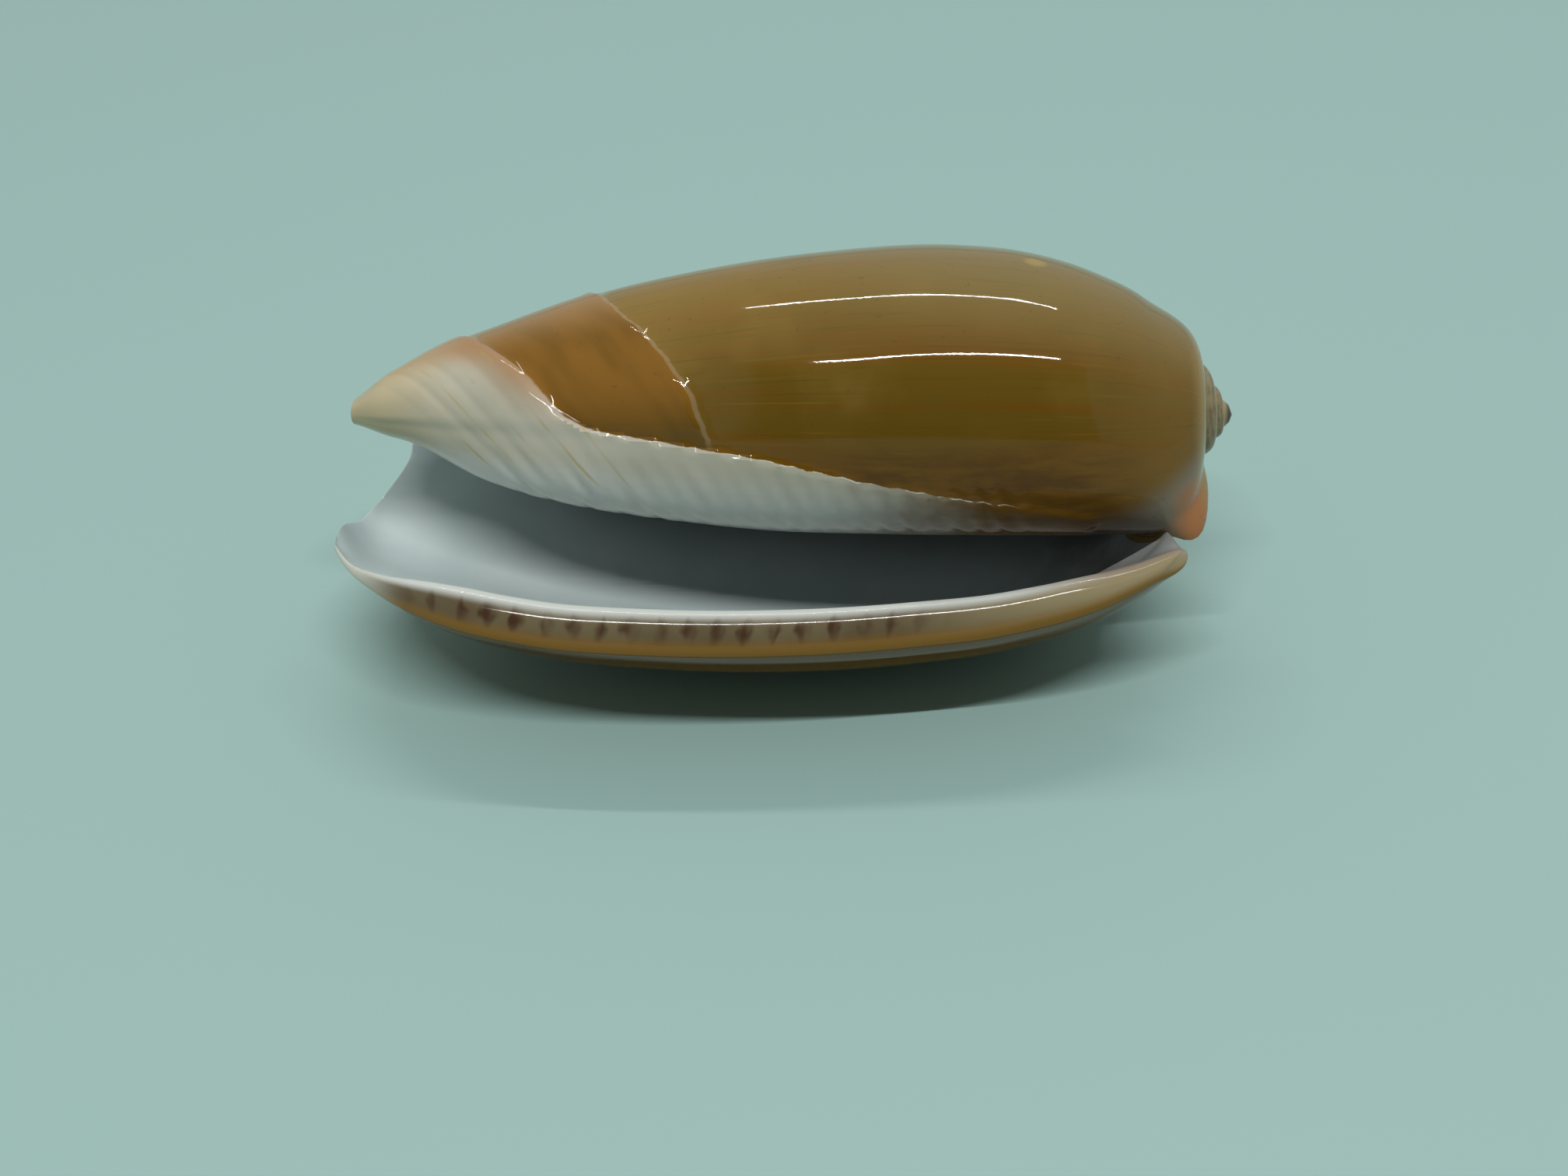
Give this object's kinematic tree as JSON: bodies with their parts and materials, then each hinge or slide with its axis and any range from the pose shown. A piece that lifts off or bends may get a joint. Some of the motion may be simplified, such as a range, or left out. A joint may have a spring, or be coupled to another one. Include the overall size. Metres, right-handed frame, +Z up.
{
  "type": "olive shell",
  "caption": "Glossy olive shell with a long narrow aperture, a white plaited columella, a thick outer lip and a low pointed spire.",
  "frame": {"origin": "centre of the shell's bounding box in plan, on the surface it lies on", "axes": "+X along the shell's axis towards the apex of the spire, -Y towards the side with the aperture, +Z up"},
  "size_m": [0.0452, 0.0222, 0.0199],
  "materials": {
    "shell": "polished natural olive-brown shell with a clear glossy surface, white enamel on the columella and inside the lip"
  },
  "bodies": {
    "root": {"shell": "shell"}
  },
  "joints": []
}
